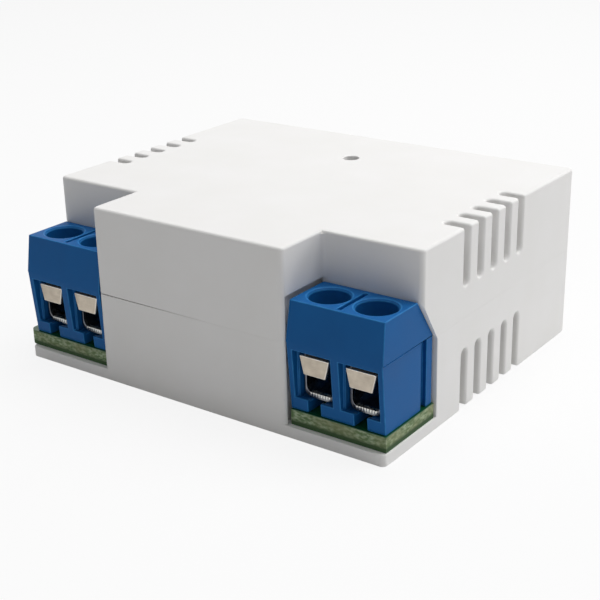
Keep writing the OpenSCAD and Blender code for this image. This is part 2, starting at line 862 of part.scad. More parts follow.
// Tube round the middle leg, out to a given wall, as high as the core's windows
module leg_tube(inner, outer) {
    difference() {
        translate([-leg_w / 2 - outer, -transformer_d / 2 - outer, yoke_bar])
            cube([leg_w + 2 * outer, transformer_d + 2 * outer, transformer_h - 2 * yoke_bar]);
        translate([-leg_w / 2 - inner, -transformer_d / 2 - inner, 0])
            cube([leg_w + 2 * inner, transformer_d + 2 * inner, transformer_h]);
    }
}

module transformer_bobbin() color("black")
    at_transformer() {
        leg_tube(0, bobbin_wall);
        for (y = [-transformer_d / 2 - bobbin_bar_d, transformer_d / 2])
            translate([-transformer_w / 2, y, -bobbin_foot])
                cube([transformer_w, bobbin_bar_d, bobbin_foot + yoke_bar + bobbin_wall]);
    }

module transformer_winding() color("gold")
    at_transformer()
        difference() {
            leg_tube(bobbin_wall, winding_out);
            translate([-transformer_w, -transformer_w, 0])
                cube([2 * transformer_w, 2 * transformer_w, yoke_bar + bobbin_wall]);
        }

// Radio, standing behind the front wall

module radio_board() color("navy")
    translate([-radio_w / 2, inner_front, board_top]) cube([radio_w, radio_t, radio_h]);

module radio_shield() color("silver")
    translate([-radio_w / 2 + shield_side, inner_front + radio_t, board_top + shield_lift])
        cube([shield_w, shield_t, shield_h]);

// Pairing button under the lid's pin-hole

module at_button() {
    translate([button_x, button_y, board_top]) children();
}

module button_body() color("black")
    at_button()
        difference() {
            translate([-button_w / 2, -button_w / 2, 0]) cube([button_w, button_w, button_h]);
            translate([0, 0, dome_h]) cylinder(d = plunger_d + 2 * plunger_play, h = button_h);
        }

module button_cover() color("silver")
    at_button()
        difference() {
            translate([-button_w / 2, -button_w / 2, button_h]) cube([button_w, button_w, button_cover_t]);
            translate([0, 0, button_h - over]) cylinder(d = plunger_d + 2 * plunger_play, h = 2 * over);
        }

module button_plunger() color("black")
    at_button()
        translate([0, 0, plunger_foot]) cylinder(d = plunger_d, h = plunger_top - plunger_foot);

module status_led() color("honeydew")
    translate([led_xy[0] - led_size[0] / 2, led_xy[1] - led_size[1] / 2, board_top]) cube(led_size);

// Rows of small chips on the board
module chip_parts() color("tan")
    for (row = chip_rows, i = [0 : chips_per_row - 1])
        translate([row[0], row[1] + i * chip_step, board_top]) cube(chip_size);

// What is drawn

lower_case();
upper_case();
circuit_board();
left_terminal_housing();
right_terminal_housing();
for (i = [1 : 4]) {
    terminal_cage(i);
    terminal_guard(i);
    terminal_screw(i);
}
relay_base();
relay_cover();
relay_bobbin();
relay_winding();
relay_core();
relay_yoke();
relay_armature();
relay_spring();
relay_fixed_contact();
relay_coil_pins();
fuse_resistor();
varistor();
bridge_rectifier();
input_capacitor();
filter_choke();
power_controller();
transformer_core();
transformer_bobbin();
transformer_winding();
output_capacitor();
radio_board();
radio_shield();
button_body();
button_cover();
button_plunger();
status_led();
chip_parts();
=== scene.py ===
# %% [markdown]
# A smart relay module: a small white box with a stepped plan, and a blue screw terminal block in each front
# corner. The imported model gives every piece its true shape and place, so this script adds what a solid
# lacks: softened edges, cut threads, ribs in the wire cages and the finish of each material. Blender works in
# metres here, and the object's details are written in millimetres, so one millimetre has a name of its own.

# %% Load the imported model
import math

import bmesh
import bpy
from mathutils import Matrix, Vector


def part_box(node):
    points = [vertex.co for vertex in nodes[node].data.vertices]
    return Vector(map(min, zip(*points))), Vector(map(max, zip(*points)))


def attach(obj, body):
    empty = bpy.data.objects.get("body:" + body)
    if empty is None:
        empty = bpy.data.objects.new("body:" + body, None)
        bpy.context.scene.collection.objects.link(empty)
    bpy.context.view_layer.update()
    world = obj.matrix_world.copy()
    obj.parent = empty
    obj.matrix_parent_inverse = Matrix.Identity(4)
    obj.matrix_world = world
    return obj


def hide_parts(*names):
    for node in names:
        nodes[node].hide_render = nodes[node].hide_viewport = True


MM = 0.001
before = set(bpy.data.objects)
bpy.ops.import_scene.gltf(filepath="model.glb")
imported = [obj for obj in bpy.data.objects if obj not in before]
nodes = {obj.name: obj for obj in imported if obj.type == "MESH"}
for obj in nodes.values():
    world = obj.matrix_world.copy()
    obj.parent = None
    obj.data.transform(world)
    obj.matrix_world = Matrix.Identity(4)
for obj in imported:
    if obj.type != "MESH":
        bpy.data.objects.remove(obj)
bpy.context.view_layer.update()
print("pieces in the packed model:", len(nodes))

# %% [markdown]
# The camera stands where the photographer stood: low, to the right of the front, near enough to make the
# right end look larger. A camera can be aimed with a constraint, but a turn about Z, a tilt and a small
# roll say the same thing in three angles that can be measured in a picture.

# %% Camera
azimuth = math.radians(36.21)
tilt = math.radians(90 - 21.63)
roll = math.radians(-1.27)
eye = Vector((74.20, -101.60, 54.93)) * MM
camera_data = bpy.data.cameras.new("photo_camera")
camera_data.lens = 74.5
camera_data.sensor_width = 36
camera_data.clip_start = 1 * MM
camera = bpy.data.objects.new("photo_camera", camera_data)
turn = Matrix.Rotation(azimuth, 4, "Z") @ Matrix.Rotation(tilt, 4, "X") @ Matrix.Rotation(roll, 4, "Z")
camera.matrix_world = Matrix.Translation(eye) @ turn
bpy.context.scene.collection.objects.link(camera)
bpy.context.scene.camera = camera
bpy.context.scene.view_settings.view_transform = "Standard"
print("camera at", [round(v, 4) for v in eye])

# %% [markdown]
# Studio light for a white product: a soft box overhead lights the lid most, a weaker one from the right
# lights the vented side, and the front is left to the light that the floor and the room throw back. The
# lamps stay low enough that the white plastic keeps its shade, and the white around it comes from what the
# camera sees of the room.

# %% Lamps
def soft_box(name, place, size, power):
    lamp = bpy.data.lights.new(name, "AREA")
    lamp.shape = "SQUARE"
    lamp.size = size
    lamp.energy = power
    lamp_object = bpy.data.objects.new(name, lamp)
    aim = (-Vector(place)).to_track_quat("-Z", "Y")
    lamp_object.matrix_world = Matrix.Translation(place) @ aim.to_matrix().to_4x4()
    bpy.context.scene.collection.objects.link(lamp_object)


soft_box("overhead_box", place=(0.05, 0.09, 0.36), size=0.30, power=1.22)
soft_box("right_box", place=(0.32, 0.32, 0.15), size=0.22, power=0.49)

# %% [markdown]
# Shaders are trees of nodes, and three small steps come up all the time: giving a socket a value or a link,
# combining two values, and stretching a value from one range to another. Each gets a helper, so that the
# finishes below read as what they are.

# %% Helpers for node trees
def set_or_link(tree, socket, value):
    if isinstance(value, bpy.types.NodeSocket):
        tree.links.new(value, socket)
    else:
        socket.default_value = value


def combined(tree, operation, first, second):
    node = tree.nodes.new("ShaderNodeMath")
    node.operation = operation
    set_or_link(tree, node.inputs[0], first)
    set_or_link(tree, node.inputs[1], second)
    return node.outputs["Value"]


def stretched(tree, value, old=(0, 1), new=(0, 1)):
    node = tree.nodes.new("ShaderNodeMapRange")
    for label, level in zip(("From Min", "From Max", "To Min", "To Max"), (*old, *new)):
        node.inputs[label].default_value = level
    tree.links.new(value, node.inputs["Value"])
    return node.outputs["Result"]


print("node helpers ready")

# %% [markdown]
# The room is plain. Rays from the camera, and rays that a shiny or clear surface throws back, see it as
# white. All other rays see a grey of the strength that the object is lit with. The floor mixes the same
# white with a pale matt surface, which keeps the object's shadow.

# %% Room and floor
def seen_directly(tree):
    path = tree.nodes.new("ShaderNodeLightPath")
    mirrored = combined(tree, "MAXIMUM", path.outputs["Is Glossy Ray"], path.outputs["Is Transmission Ray"])
    return combined(tree, "MAXIMUM", path.outputs["Is Camera Ray"], mirrored)


def white_room(strength):
    world = bpy.data.worlds.new("white_room")
    world.use_nodes = True
    tree = world.node_tree
    background = tree.nodes["Background"]
    background.inputs["Color"].default_value = (1, 1, 1, 1)
    level = stretched(tree, seen_directly(tree), new=(strength, 1))
    tree.links.new(level, background.inputs["Strength"])
    bpy.context.scene.world = world


def pale_floor(reach, whiteness):
    bm = bmesh.new()
    bmesh.ops.create_grid(bm, x_segments=1, y_segments=1, size=reach)
    mesh = bpy.data.meshes.new("floor")
    bm.to_mesh(mesh)
    bm.free()
    floor = bpy.data.objects.new("floor", mesh)
    bpy.context.scene.collection.objects.link(floor)
    material = bpy.data.materials.new("pale_floor")
    material.use_nodes = True
    tree = material.node_tree
    matt = tree.nodes["Principled BSDF"]
    matt.inputs["Base Color"].default_value = (0.82, 0.82, 0.82, 1)
    matt.inputs["Roughness"].default_value = 0.9
    glow = tree.nodes.new("ShaderNodeEmission")
    mix = tree.nodes.new("ShaderNodeMixShader")
    tree.links.new(combined(tree, "MULTIPLY", seen_directly(tree), whiteness), mix.inputs["Fac"])
    tree.links.new(matt.outputs["BSDF"], mix.inputs[1])
    tree.links.new(glow.outputs["Emission"], mix.inputs[2])
    tree.links.new(mix.outputs["Shader"], tree.nodes["Material Output"].inputs["Surface"])
    mesh.materials.append(material)


white_room(strength=0.20)
pale_floor(reach=1.5, whiteness=0.86)
print("room and floor made")

# %% [markdown]
# Finishes are made of the same few effects, so each effect is a node group with named sockets, built once.
# The first is the skin of a moulding: a spark-eroded grain about a tenth of a millimetre wide, and a slow
# mottle where the plastic cooled at different rates.

# %% Effect: skin of a moulding
def new_effect(name, inputs, outputs):
    group = bpy.data.node_groups.new(name, "ShaderNodeTree")
    for label, kind, value in inputs:
        socket = group.interface.new_socket(name=label, in_out="INPUT", socket_type=kind)
        if value is not None:
            socket.default_value = value
    for label, kind in outputs:
        group.interface.new_socket(name=label, in_out="OUTPUT", socket_type=kind)
    return group, group.nodes.new("NodeGroupInput"), group.nodes.new("NodeGroupOutput")


def noise_in(group, vector, scale, detail):
    noise = group.nodes.new("ShaderNodeTexNoise")
    noise.inputs["Detail"].default_value = detail
    group.links.new(vector, noise.inputs["Vector"])
    set_or_link(group, noise.inputs["Scale"], scale)
    return noise.outputs["Fac"]


def moulded_skin_effect():
    group, start, end = new_effect(
        "moulded_skin",
        [("Vector", "NodeSocketVector", None), ("Grain", "NodeSocketFloat", 9000.0)],
        [("Height", "NodeSocketFloat"), ("Mottle", "NodeSocketFloat")])
    place = start.outputs["Vector"]
    group.links.new(noise_in(group, place, scale=start.outputs["Grain"], detail=3), end.inputs["Height"])
    group.links.new(noise_in(group, place, scale=170, detail=4), end.inputs["Mottle"])
    return group


moulded_skin = moulded_skin_effect()
print("effect:", moulded_skin.name)

# %% [markdown]
# Strip and wire keep the lines of the rolls and dies that they came through. Noise that is squeezed across
# one direction gives such lines, and a second, rounder noise gives the dull spots of handling.

# %% Effect: drawn metal
ALONG_X, ALONG_Y, ALONG_Z = (600, 9000, 9000), (9000, 600, 9000), (9000, 9000, 600)


def squeezed(group, vector, amount):
    squeeze = group.nodes.new("ShaderNodeVectorMath")
    squeeze.operation = "MULTIPLY"
    group.links.new(vector, squeeze.inputs[0])
    group.links.new(amount, squeeze.inputs[1])
    return squeeze.outputs["Vector"]


def drawn_metal_effect():
    group, start, end = new_effect(
        "drawn_metal",
        [("Vector", "NodeSocketVector", None), ("Across", "NodeSocketVector", ALONG_Z)],
        [("Lines", "NodeSocketFloat"), ("Spots", "NodeSocketFloat")])
    place = start.outputs["Vector"]
    lines_place = squeezed(group, place, start.outputs["Across"])
    group.links.new(noise_in(group, lines_place, scale=1, detail=2), end.inputs["Lines"])
    group.links.new(noise_in(group, place, scale=1400, detail=3), end.inputs["Spots"])
    return group


drawn_metal = drawn_metal_effect()
print("effect:", drawn_metal.name)

# %% [markdown]
# A coil shows its turns as even ridges. A wave texture makes them, and the axis is chosen by turning the
# coordinates before they go in, so the same effect serves a coil that lies and one that stands.

# %% Effect: turns of wire
def wire_turns_effect():
    group, start, end = new_effect(
        "wire_turns",
        [("Vector", "NodeSocketVector", None), ("Turns", "NodeSocketFloat", 2500.0)],
        [("Height", "NodeSocketFloat"), ("Shade", "NodeSocketFloat")])
    wave = group.nodes.new("ShaderNodeTexWave")
    wave.wave_profile = "SIN"
    wave.inputs["Distortion"].default_value = 0.4
    wave.inputs["Detail"].default_value = 1
    group.links.new(start.outputs["Vector"], wave.inputs["Vector"])
    group.links.new(start.outputs["Turns"], wave.inputs["Scale"])
    group.links.new(wave.outputs["Fac"], end.inputs["Height"])
    group.links.new(noise_in(group, start.outputs["Vector"], scale=900, detail=2), end.inputs["Shade"])
    return group


wire_turns = wire_turns_effect()
print("effect:", wire_turns.name)

# %% [markdown]
# Rounded edges catch the soft boxes as thin highlights, and here those highlights are painted in: the edges
# are made a little paler than the flats. Where the mesh is rounded further down, the new faces are marked
# with a value of their own. This effect turns that mark, broken up by noise, into a paler colour, which is a
# painted highlight.

# %% Effect: painted highlight on rounded edges
def mix_colours(tree, factor, first, second):
    mix = tree.nodes.new("ShaderNodeMix")
    mix.data_type = "RGBA"
    tree.links.new(factor, mix.inputs["Factor"])
    set_or_link(tree, mix.inputs["A"], first)
    set_or_link(tree, mix.inputs["B"], second)
    return mix.outputs["Result"]


def painted_edge_highlight_effect():
    group, start, end = new_effect(
        "painted_edge_highlight",
        [("Vector", "NodeSocketVector", None), ("Plain", "NodeSocketColor", None),
         ("Rubbed", "NodeSocketColor", None)],
        [("Colour", "NodeSocketColor")])
    mark = group.nodes.new("ShaderNodeAttribute")
    mark.attribute_name = "rounded"
    patches = noise_in(group, start.outputs["Vector"], scale=1100, detail=3)
    share = combined(group, "MULTIPLY", mark.outputs["Fac"], patches)
    colour = mix_colours(group, share, start.outputs["Plain"], start.outputs["Rubbed"])
    group.links.new(colour, end.inputs["Colour"])
    return group


painted_edge_highlight = painted_edge_highlight_effect()
print("effect:", painted_edge_highlight.name)

# %% [markdown]
# A finish is a Principled shader with its plain values set on its own sockets. Only what changes over the
# surface comes through nodes: the colour between two close tones, with a painted highlight on rounded edges
# where a highlight colour is given, the roughness between two levels, and a bump. Noise seldom leaves the
# middle of its range, so only that part is spread over the two tones.

# %% Parts of a finish
NOISE_LOW, NOISE_HIGH = 0.3, 0.7


def new_finish(name, metallic=0.0, specular=0.5):
    material = bpy.data.materials.new(name)
    material.use_nodes = True
    shader = material.node_tree.nodes["Principled BSDF"]
    shader.inputs["Metallic"].default_value = metallic
    shader.inputs["Specular IOR Level"].default_value = specular
    return material, material.node_tree, shader


def place_effect(tree, effect, turned=(0, 0, 0), **values):
    coordinates = tree.nodes.new("ShaderNodeTexCoord")
    mapping = tree.nodes.new("ShaderNodeMapping")
    mapping.inputs["Rotation"].default_value = turned
    tree.links.new(coordinates.outputs["Object"], mapping.inputs["Vector"])
    node = tree.nodes.new("ShaderNodeGroup")
    node.node_tree = effect
    tree.links.new(mapping.outputs["Vector"], node.inputs["Vector"])
    for label, value in values.items():
        node.inputs[label].default_value = value
    return node


def colour_between(tree, shader, factor, dark, light, highlight_colour=None):
    ramp = tree.nodes.new("ShaderNodeValToRGB")
    for stop, position, colour in zip(ramp.color_ramp.elements, (NOISE_LOW, NOISE_HIGH), (dark, light)):
        stop.position = position
        stop.color = colour
    tree.links.new(factor, ramp.inputs["Fac"])
    plain = ramp.outputs["Color"]
    # painted highlight: the rounded edges are made paler than the flats
    if highlight_colour:
        edge = place_effect(tree, painted_edge_highlight, Rubbed=highlight_colour)
        tree.links.new(plain, edge.inputs["Plain"])
        plain = edge.outputs["Colour"]
    tree.links.new(plain, shader.inputs["Base Color"])


def roughness_between(tree, shader, factor, levels):
    level = stretched(tree, factor, old=(NOISE_LOW, NOISE_HIGH), new=levels)
    tree.links.new(level, shader.inputs["Roughness"])


def bump_from(tree, shader, height, strength, depth):
    bump = tree.nodes.new("ShaderNodeBump")
    bump.inputs["Strength"].default_value = strength
    bump.inputs["Distance"].default_value = depth
    tree.links.new(height, bump.inputs["Height"])
    tree.links.new(bump.outputs["Normal"], shader.inputs["Normal"])


print("parts of a finish ready")

# %% [markdown]
# The module has three kinds of surface: moulded, drawn and wound. Each kind joins one effect to a shader, and
# what differs from finish to finish is given by name. Colours are written as a screen shows them, and srgb
# turns them into the linear values that a shader takes.

# %% Kinds of finish
GRAIN_DEPTH, LINE_DEPTH, TURN_DEPTH = 0.02 * MM, 0.01 * MM, 0.05 * MM


def srgb(red, green, blue):
    def linear(level):
        level /= 255
        return level / 12.92 if level <= 0.04045 else ((level + 0.055) / 1.055) ** 2.4
    return (linear(red), linear(green), linear(blue), 1)


def moulded(name, dark, light, rough, grain=9000.0, strength=0.15, specular=0.5, highlight_colour=None):
    material, tree, shader = new_finish(name, specular=specular)
    skin = place_effect(tree, moulded_skin, Grain=grain)
    colour_between(tree, shader, skin.outputs["Mottle"], dark, light, highlight_colour)
    roughness_between(tree, shader, skin.outputs["Mottle"], rough)
    bump_from(tree, shader, skin.outputs["Height"], strength, GRAIN_DEPTH)
    return material


def drawn(name, dark, light, rough, across=ALONG_Z, strength=0.15, highlight_colour=None):
    material, tree, shader = new_finish(name, metallic=1.0)
    metal = place_effect(tree, drawn_metal, Across=across)
    colour_between(tree, shader, metal.outputs["Spots"], dark, light, highlight_colour)
    roughness_between(tree, shader, metal.outputs["Lines"], rough)
    bump_from(tree, shader, metal.outputs["Lines"], strength, LINE_DEPTH)
    return material


def wound(name, dark, light, turns, turned):
    material, tree, shader = new_finish(name, metallic=0.8)
    coil = place_effect(tree, wire_turns, turned, Turns=turns)
    colour_between(tree, shader, coil.outputs["Shade"], dark, light)
    roughness_between(tree, shader, coil.outputs["Shade"], (0.25, 0.4))
    bump_from(tree, shader, coil.outputs["Height"], strength=0.6, depth=TURN_DEPTH)
    return material


print("kinds of finish ready")

# %% [markdown]
# Mouldings first. White ABS is nearly neutral and a little warm, and the terminal blocks are a deep blue
# polyamide with a soft shine. The dipped, sleeved and pressed parts inside have a skin of the same kind, with
# a coarser or finer grain.

# %% Moulded finishes
white_abs = moulded("white_abs", srgb(237, 236, 234), srgb(240, 239, 238), rough=(0.44, 0.52),
                    grain=8000.0, strength=0.10, specular=0.3)
# the blue blocks get a painted highlight on their rounded edges
blue_polyamide = moulded("blue_polyamide", srgb(15, 89, 152), srgb(19, 95, 160), rough=(0.42, 0.52),
                         grain=11000.0, strength=0.12, specular=0.12, highlight_colour=srgb(58, 138, 202))
black_moulding = moulded("black_moulding", srgb(24, 24, 25), srgb(32, 32, 33), rough=(0.40, 0.55))
pale_moulding = moulded("pale_moulding", srgb(224, 220, 206), srgb(232, 228, 216), rough=(0.40, 0.55))
varistor_epoxy = moulded("varistor_epoxy", srgb(28, 92, 150), srgb(38, 106, 166), rough=(0.28, 0.42),
                         grain=3000.0, strength=0.25)
resistor_lacquer = moulded("resistor_lacquer", srgb(66, 122, 104), srgb(78, 136, 116), rough=(0.38, 0.52),
                           grain=5000.0, strength=0.3)
capacitor_sleeve = moulded("capacitor_sleeve", srgb(22, 26, 46), srgb(28, 33, 56), rough=(0.25, 0.38),
                           grain=2000.0, strength=0.08)
ferrite = moulded("ferrite", srgb(52, 52, 54), srgb(64, 64, 66), rough=(0.50, 0.70),
                  grain=7000.0, strength=0.35)
film_tape = moulded("film_tape", srgb(214, 172, 44), srgb(228, 186, 56), rough=(0.22, 0.34), grain=1500.0)
chip_ceramic = moulded("chip_ceramic", srgb(150, 122, 96), srgb(168, 140, 112), rough=(0.45, 0.60),
                       strength=0.2)
print("materials in the file, packed ones too:", len(bpy.data.materials))

# %% [markdown]
# The metal is tinned brass, plated strip and zinc plated steel in the terminals, and iron, bronze and copper
# in the relay and the coils. Strip is drawn along its length, so each finish says which way its lines run.
# Sheared and plated faces have lines in no direction.

# %% Drawn and wound finishes
QUARTER_TURN = math.radians(90)
tinned_brass = drawn("tinned_brass", srgb(118, 120, 124), srgb(140, 142, 146), rough=(0.24, 0.40))
sheared_tin = drawn("sheared_tin", srgb(206, 206, 200), srgb(232, 232, 226), rough=(0.22, 0.50),
                    across=(5000, 5000, 5000), strength=0.5)
# the guard strip gets a painted highlight on its rounded edges
guard_strip = drawn("guard_strip", srgb(174, 164, 150), srgb(192, 182, 167), rough=(0.42, 0.58),
                    across=(700, 9000, 9000), highlight_colour=srgb(246, 242, 234))
zinc_steel = drawn("zinc_steel", srgb(120, 123, 130), srgb(142, 145, 150), rough=(0.26, 0.42),
                   across=(7000, 7000, 7000))
relay_iron = drawn("relay_iron", srgb(176, 176, 178), srgb(198, 198, 200), rough=(0.30, 0.44), across=ALONG_X)
contact_bronze = drawn("contact_bronze", srgb(206, 160, 104), srgb(222, 178, 120), rough=(0.22, 0.36),
                       across=ALONG_Y)
shield_steel = drawn("shield_steel", srgb(198, 199, 200), srgb(214, 215, 216), rough=(0.28, 0.42),
                     across=ALONG_X)
lying_copper = wound("lying_copper", srgb(176, 98, 58), srgb(198, 118, 72), turns=1600.0,
                     turned=(0, 0, QUARTER_TURN))
standing_copper = wound("standing_copper", srgb(160, 92, 58), srgb(184, 110, 70), turns=1400.0,
                        turned=(0, QUARTER_TURN, 0))
print("materials in the file, packed ones too:", len(bpy.data.materials))

# %% [markdown]
# A circuit board is woven glass in resin with a green lacquer on both faces. The saw leaves its edge bare:
# pale, rough and flecked with fibre ends. The edge is also made darker at its foot in a dark green, which is
# painted shade: the shadow of the ledge that the board sits on. The height in the piece's own coordinates
# tells lacquer, edge and shaded foot apart, and the flecks are noise that is stretched along the weave.

# %% Effect and finish: lacquered board with a sawn edge
LACQUER_SKIN, LACQUER_FADE = 0.05 * MM, 0.08 * MM
# painted shade at the foot of the sawn edge: full below the first height, faded out at the second
SHADED_FOOT_FULL, SHADED_FOOT_FADE = 0.35 * MM, 0.70 * MM
FLECK_RANGE, TINT_RANGE = (0.41, 0.64), (0.45, 0.75)
SAWN_ROUGHNESS, LACQUER_ROUGHNESS = 0.85, 0.28
FIBRE_DEPTH = 0.05 * MM


def sawn_fibre_effect():
    group, start, end = new_effect(
        "sawn_fibre",
        [("Vector", "NodeSocketVector", None), ("Flecks", "NodeSocketVector", (1800, 1800, 3900))],
        [("Fleck", "NodeSocketFloat"), ("Height", "NodeSocketFloat"), ("Tint", "NodeSocketFloat")])
    place = start.outputs["Vector"]
    fleck_place = squeezed(group, place, start.outputs["Flecks"])
    group.links.new(noise_in(group, fleck_place, scale=1, detail=5), end.inputs["Fleck"])
    group.links.new(noise_in(group, place, scale=6000, detail=4), end.inputs["Height"])
    group.links.new(noise_in(group, place, scale=260, detail=2), end.inputs["Tint"])
    return group


def lacquered_board(name, node, axis, lacquer, edge_dark, edge_pale, edge_warm, edge_shaded_foot):
    bottom, top = (corner["XYZ".index(axis)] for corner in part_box(node))
    material, tree, shader = new_finish(name)
    fibre = place_effect(tree, sawn_fibre)
    coordinates = tree.nodes.new("ShaderNodeTexCoord")
    split = tree.nodes.new("ShaderNodeSeparateXYZ")
    tree.links.new(coordinates.outputs["Object"], split.inputs["Vector"])
    height = split.outputs[axis]
    upper = stretched(tree, height, old=(top - LACQUER_FADE, top - LACQUER_SKIN))
    lower = stretched(tree, height, old=(bottom + LACQUER_FADE, bottom + LACQUER_SKIN))
    face = combined(tree, "MAXIMUM", upper, lower)
    # painted shade: the sawn edge gets darker towards its foot, standing in for the shadow of the ledge under
    # the board
    foot = stretched(tree, height, old=(bottom + SHADED_FOOT_FADE, bottom + SHADED_FOOT_FULL))
    edge = mix_colours(tree, stretched(tree, fibre.outputs["Fleck"], old=FLECK_RANGE), edge_dark, edge_pale)
    edge = mix_colours(tree, stretched(tree, fibre.outputs["Tint"], old=TINT_RANGE), edge, edge_warm)
    # the painted shade at the foot is laid over the fibre colours
    edge = mix_colours(tree, foot, edge, edge_shaded_foot)
    tree.links.new(mix_colours(tree, face, edge, lacquer), shader.inputs["Base Color"])
    roughness = stretched(tree, face, new=(SAWN_ROUGHNESS, LACQUER_ROUGHNESS))
    tree.links.new(roughness, shader.inputs["Roughness"])
    bump_from(tree, shader, fibre.outputs["Height"], strength=0.35, depth=FIBRE_DEPTH)
    return material


sawn_fibre = sawn_fibre_effect()
# both boards get the painted shade at the foot of their sawn edge
green_board = lacquered_board(
    "green_board", "circuit_board", "Z", lacquer=srgb(14, 78, 36), edge_dark=srgb(92, 118, 76),
    edge_pale=srgb(170, 186, 154), edge_warm=srgb(132, 135, 98), edge_shaded_foot=srgb(48, 74, 40))
radio_lacquer = lacquered_board(
    "radio_lacquer", "radio_board", "Y", lacquer=srgb(24, 38, 84), edge_dark=srgb(120, 122, 96),
    edge_pale=srgb(170, 172, 140), edge_warm=srgb(140, 132, 90), edge_shaded_foot=srgb(60, 66, 70))
print("boards:", green_board.name, radio_lacquer.name)

# %% [markdown]
# The clear resin of the status light is the one see-through finish: a pale body that lets some light pass
# and has a slight cloud in it.

# %% Finish: clear resin
def clear_resin():
    material, tree, shader = new_finish("clear_resin")
    shader.inputs["Transmission Weight"].default_value = 0.6
    shader.inputs["IOR"].default_value = 1.5
    skin = place_effect(tree, moulded_skin, Grain=4000.0)
    colour_between(tree, shader, skin.outputs["Mottle"], srgb(226, 230, 206), srgb(240, 242, 226))
    roughness_between(tree, shader, skin.outputs["Mottle"], (0.12, 0.2))
    return material


led_resin = clear_resin()
print("finish:", led_resin.name)

# %% [markdown]
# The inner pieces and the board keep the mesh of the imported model, which is right as it is, and only get
# their finish. A table of finish and pieces keeps that in one place.

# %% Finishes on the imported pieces
inner_finishes = {
    green_board: ["circuit_board"],
    black_moulding: ["relay_base", "relay_cover", "bridge_rectifier", "power_controller",
                     "transformer_bobbin", "button_body", "button_plunger"],
    pale_moulding: ["relay_bobbin"],
    lying_copper: ["relay_winding"],
    standing_copper: ["filter_choke"],
    relay_iron: ["relay_core", "relay_yoke", "relay_armature"],
    contact_bronze: ["relay_spring", "relay_fixed_contact"],
    tinned_brass: ["relay_coil_pins"],
    resistor_lacquer: ["fuse_resistor"],
    varistor_epoxy: ["varistor"],
    capacitor_sleeve: ["input_capacitor", "output_capacitor"],
    ferrite: ["transformer_core"],
    film_tape: ["transformer_winding"],
    radio_lacquer: ["radio_board"],
    shield_steel: ["radio_shield", "button_cover"],
    led_resin: ["status_led"],
    chip_ceramic: ["chip_parts"],
}
for finish, names in inner_finishes.items():
    for node_name in names:
        nodes[node_name].data.materials.clear()
        nodes[node_name].data.materials.append(finish)
print("packed pieces finished:", sum(len(names) for names in inner_finishes.values()))

# %% [markdown]
# No moulding or pressing has knife edges: a small radius catches the light along every corner, and without
# it the box looks drawn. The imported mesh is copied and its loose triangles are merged, flat triangles are
# joined to whole faces, and then the sharp edges are bevelled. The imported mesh's own normals no longer fit
# the rounded copy, so they are dropped for new ones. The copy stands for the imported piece.

# %% Softened copies: tools
SHARP_ANGLE, SMOOTH_ANGLE, FLAT_ANGLE = math.radians(28), math.radians(50), math.radians(0.5)
WELD_REACH, EMPTY_LENGTH = 0.015 * MM, 0.002 * MM


def add_piece(name, bm, material, body):
    mesh = bpy.data.meshes.new(name)
    bm.to_mesh(mesh)
    bm.free()
    mesh.materials.append(material)
    packed_normals = mesh.attributes.get("custom_normal")
    if packed_normals:
        mesh.attributes.remove(packed_normals)
    mesh.shade_smooth()
    mesh.set_sharp_from_angle(angle=SMOOTH_ANGLE)
    piece = bpy.data.objects.new(name, mesh)
    bpy.context.scene.collection.objects.link(piece)
    weighted = piece.modifiers.new("flat_faces", "WEIGHTED_NORMAL")
    weighted.keep_sharp = True
    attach(piece, body)
    return piece


def merged_copy(node):
    bm = bmesh.new()
    bm.from_mesh(nodes[node].data)
    bmesh.ops.remove_doubles(bm, verts=bm.verts, dist=WELD_REACH)
    bmesh.ops.dissolve_degenerate(bm, edges=bm.edges, dist=EMPTY_LENGTH)
    bmesh.ops.dissolve_limit(bm, angle_limit=FLAT_ANGLE, verts=bm.verts, edges=bm.edges)
    return bm


def soften(bm, radius, chosen=lambda point: True, left_sharp=lambda point: False, segments=2):
    # the bevel's new faces are marked as rounded, and the painted edge highlight is placed by this mark
    mark = bm.faces.layers.float.get("rounded") or bm.faces.layers.float.new("rounded")
    sharp = [e for e in bm.edges if e.is_manifold and e.calc_face_angle() > SHARP_ANGLE
             and all(chosen(v.co) for v in e.verts)
             and not left_sharp((e.verts[0].co + e.verts[1].co) / 2)]
    rounded = bmesh.ops.bevel(bm, geom=sharp, offset=radius, offset_type="OFFSET", affect="EDGES",
                              segments=segments, profile=0.5, material=-1, clamp_overlap=False)
    for face in rounded["faces"]:
        face[mark] = 1
    bmesh.ops.recalc_face_normals(bm, faces=bm.faces)


print("softening tools ready")

# %% [markdown]
# The two shells need three radii. The ribs between the vent slots are well rounded, other edges have the
# usual tenth of a millimetre, and the seam is so well fitted that its edges are only broken. Where an edge
# lies tells which it gets: the vents are in the outer skin near the middle of the sides, and the seam is
# where the shells meet. Two places beside each notch have steps finer than any of these radii and are left
# as they are: the inner corner, with the mitre of the lid's round edge, and the foot of the front's round
# corner. The edges inside the box are never seen, so they stay sharp too.

# %% Where the edges of the shells lie
lid_low, lid_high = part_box("upper_case")
front_y, back_y, side_x, lid_z = lid_low.y, lid_high.y, lid_high.x, lid_high.z
seam_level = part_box("lower_case")[1].z
rim_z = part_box("circuit_board")[0].z
notch_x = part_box("right_terminal_housing")[0].x
notch_depth = 6.35 * MM
notch_y = front_y + notch_depth
vent_middle, vent_half_row, vent_reach = 1.1 * MM, 6.6 * MM, 2.6 * MM
skin_depth, inner_depth = 0.35 * MM, 0.6 * MM
corner_reach, pocket_reach, level_play = 0.7 * MM, 2.5 * MM, 0.01 * MM


def in_vents(point):
    outer = abs(point.x) > side_x - skin_depth or point.z > lid_z - skin_depth or point.z < skin_depth
    near_side = abs(point.x) > side_x - vent_reach
    return outer and near_side and abs(point.y - vent_middle) < vent_half_row


def at_seam(point):
    return abs(point.z - seam_level) < level_play


def plain_edge(point):
    return not in_vents(point) and not at_seam(point)


